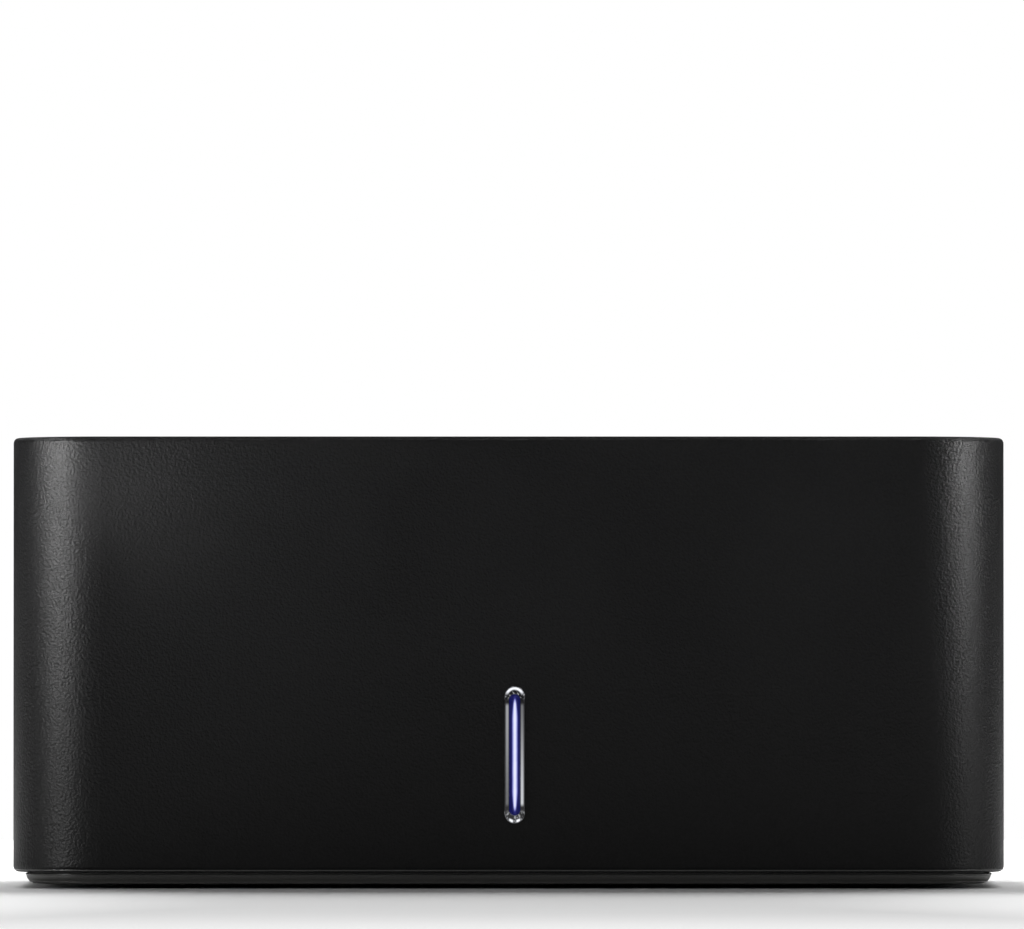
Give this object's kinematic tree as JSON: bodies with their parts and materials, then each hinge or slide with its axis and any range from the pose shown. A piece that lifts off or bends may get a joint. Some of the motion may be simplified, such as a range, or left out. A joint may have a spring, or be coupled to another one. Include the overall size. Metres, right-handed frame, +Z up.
{
  "type": "hard drive docking station",
  "caption": "Low rounded box that takes a bare disk drive upright in a slot in its top, with sprung dust flaps, an upright front light and rear sockets and switch.",
  "frame": {"origin": "on the desk under the middle of the dock", "axes": "+Z up, -Y out of the front with the light, +X to the right seen from the front"},
  "size_m": [0.131, 0.0685, 0.0594],
  "materials": {
    "housing_plastic": "satin black, fine spark-eroded grain",
    "base_plastic": "satin black, slightly warm",
    "foot_rubber": "matt black rubber",
    "dark_steel": "black zinc plate",
    "frame_plastic": "plain black moulding",
    "bright_steel": "zinc plate",
    "flap_plastic": "satin black, fine grain",
    "spring_steel": "drawn spring wire",
    "board_green": "green solder mask",
    "connector_plastic": "black moulding",
    "contact_gold": "gold flash",
    "chip_black": "moulded package",
    "can_metal": "drawn metal can",
    "ferrite": "grey ferrite",
    "chip_ceramic": "fired ceramic",
    "socket_metal": "nickel plate",
    "socket_blue": "blue moulding",
    "switch_plastic": "black moulding",
    "rocker_plastic": "semi-gloss black",
    "light_clear": "clear acrylic",
    "light_blue": "lit blue core",
    "led_clear": "water-clear resin"
  },
  "bodies": {
    "dock": {"housing": "housing_plastic", "base_plate": "base_plastic", "foot_front_left": "foot_rubber", "foot_front_right": "foot_rubber", "foot_rear_left": "foot_rubber", "foot_rear_right": "foot_rubber", "base_screws": "dark_steel", "bay_frame": "frame_plastic", "frame_screws": "bright_steel", "main_flap_pin": "bright_steel", "main_flap_spring": "spring_steel", "small_flap_pin": "bright_steel", "small_flap_spring": "spring_steel", "main_board": "board_green", "board_screws": "bright_steel", "drive_connector": "connector_plastic", "drive_contacts": "contact_gold", "bridge_chip": "chip_black", "memory_chip": "chip_black", "crystal": "can_metal", "inductors": "ferrite", "capacitors": "can_metal", "regulators": "chip_black", "chip_parts": "chip_ceramic", "data_shell": "socket_metal", "data_core": "socket_blue", "data_contacts": "contact_gold", "inlet_body": "connector_plastic", "inlet_pin": "socket_metal", "inlet_leaf": "socket_metal", "switch_body": "switch_plastic", "switch_terminals": "socket_metal", "light_bezel": "light_clear", "light_rod": "light_blue", "status_led": "led_clear"},
    "main_flap": {"main_flap": "flap_plastic"},
    "small_flap": {"small_flap": "flap_plastic"},
    "rocker": {"switch_rocker": "rocker_plastic"}
  },
  "joints": [
    {"name": "main_flap_hinge", "type": "hinge", "parent": "dock", "child": "main_flap", "pos_m": [0, -0.0195, 0.0549], "axis": [-1, 0, 0], "range_deg": [0, 90], "stiffness_Nm_per_rad": 0.004, "springref_deg": -34.38, "deforming": ["main_flap_spring"]},
    {"name": "small_flap_hinge", "type": "hinge", "parent": "dock", "child": "small_flap", "pos_m": [-0.0146, 0.0115, 0.0549], "axis": [1, 0, 0], "range_deg": [0, 90], "stiffness_Nm_per_rad": 0.002, "springref_deg": -34.38, "deforming": ["small_flap_spring"]},
    {"name": "rocker_tilt", "type": "hinge", "parent": "dock", "child": "rocker", "pos_m": [0.03, 0.0295, 0.0194], "axis": [1, 0, 0], "range_deg": [0, 18]}
  ]
}
